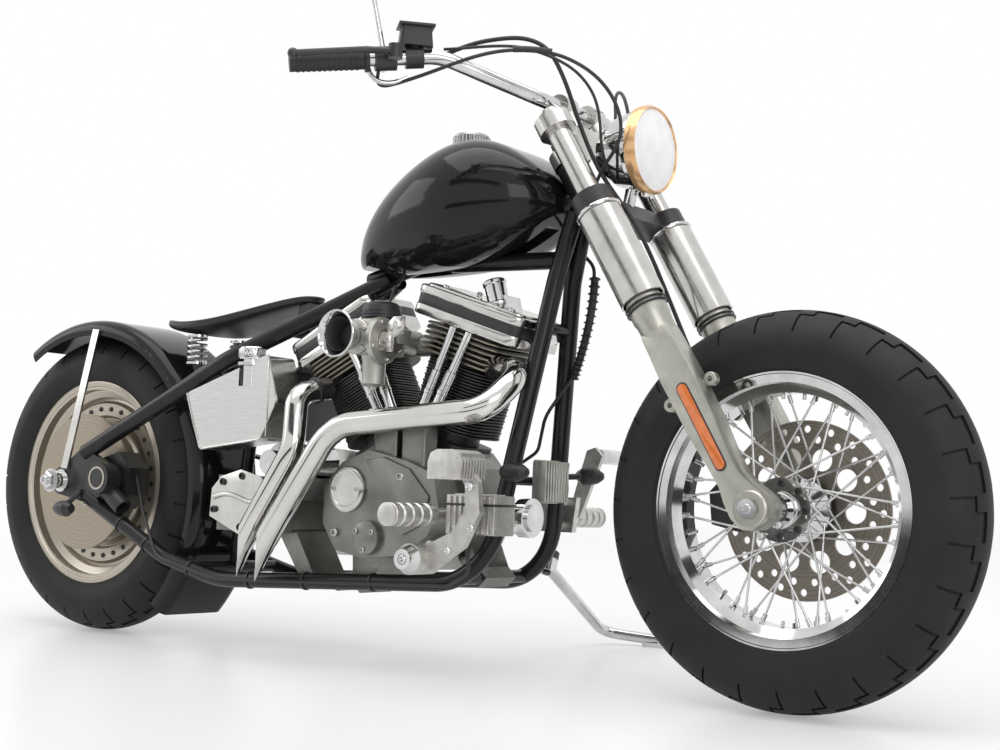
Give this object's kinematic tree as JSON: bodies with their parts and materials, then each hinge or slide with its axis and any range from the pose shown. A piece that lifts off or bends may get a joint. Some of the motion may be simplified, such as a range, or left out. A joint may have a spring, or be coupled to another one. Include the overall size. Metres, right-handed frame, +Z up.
{
  "type": "chopper motorcycle",
  "caption": "Rigid-framed custom chopper motorcycle with a V-twin engine, laced front wheel and solid rear wheel, leaning on its side stand.",
  "frame": {"origin": "middle of the floor area that the parked motorcycle covers, at floor level", "axes": "+X forward, +Y to the rider's left, +Z up from the floor; the motorcycle leans 5 degrees towards +Y on its side stand"},
  "size_m": [2.269, 0.9713, 1.2964],
  "materials": {
    "black_paint": "gloss",
    "black_steel": "satin",
    "chrome": "mirror",
    "polished_alloy": "polished",
    "cast_alloy": "cast",
    "cream_alloy": "satin",
    "barrel": "painted, bright fin edges",
    "steel": "brushed",
    "tyre_rubber": "matt",
    "rubber": "matt",
    "black_leather": "grained",
    "black_plastic": "matt",
    "lamp": "amber rim and clear lens"
  },
  "bodies": {
    "chassis": {"axle_plates": "black_steel", "battery_box": "black_plastic", "brake_controls": "polished_alloy", "carburettor": "cast_alloy", "crankcase": "cast_alloy", "cross_members": "black_paint", "cylinders": "barrel", "drive_belt": "rubber", "engine_mounts": "chrome", "exhaust_pipes": "polished_alloy", "fender_stays": "polished_alloy", "filler_caps": "chrome", "frame_cables": "rubber", "frame_front": "black_paint", "frame_rails": "black_paint", "frame_struts": "black_paint", "fuel_tank": "black_paint", "horn": "chrome", "oil_tank": "polished_alloy", "primary_cover": "polished_alloy", "pushrod_tubes": "chrome", "rear_axle": "chrome", "rear_caliper": "black_steel", "rear_fender": "black_paint", "regulator": "cast_alloy", "rocker_boxes": "polished_alloy", "seat": "black_leather", "seat_bracket": "black_steel", "seat_post": "black_paint", "seat_springs": "chrome", "shift_controls": "polished_alloy", "stand_bracket": "black_steel", "starter_motor": "chrome", "transmission": "cast_alloy", "turn_signals": "black_plastic"},
    "steering": {"steering_stem": "black_steel", "top_clamp": "polished_alloy", "fork_tubes": "polished_alloy", "fork_sliders": "cast_alloy", "front_axle": "chrome", "handlebar": "chrome", "grips": "rubber", "hand_controls": "black_steel", "brake_reservoir": "black_steel", "mirror": "chrome", "headlamp": "lamp", "front_caliper": "black_steel", "control_cables": "rubber"},
    "front_wheel": {"front_tyre": "tyre_rubber", "front_rim": "chrome", "front_hub": "chrome", "front_disc": "steel"},
    "rear_wheel": {"rear_tyre": "tyre_rubber", "rear_wheel": "cream_alloy", "rear_disc": "steel"},
    "side_stand": {"side_stand": "chrome"}
  },
  "joints": [
    {"name": "steer", "type": "hinge", "parent": "chassis", "child": "steering", "pos_m": [0.40857, -0.01511, 0.85472], "axis": [-0.515, 0.0747, 0.8539], "range_deg": [-35, 35]},
    {"name": "front_wheel_spin", "type": "hinge", "parent": "steering", "child": "front_wheel", "pos_m": [0.8145, -0.06198, 0.31903], "axis": [0, 0.9962, -0.0872], "continuous": true},
    {"name": "rear_wheel_spin", "type": "hinge", "parent": "chassis", "child": "rear_wheel", "pos_m": [-0.8145, -0.06198, 0.31903], "axis": [0, 0.9962, -0.0872], "continuous": true},
    {"name": "stand_fold", "type": "hinge", "parent": "chassis", "child": "side_stand", "pos_m": [0.2455, 0.08661, 0.18156], "axis": [-0.0937, 0.5194, 0.8494], "range_deg": [0, 79.4]}
  ]
}
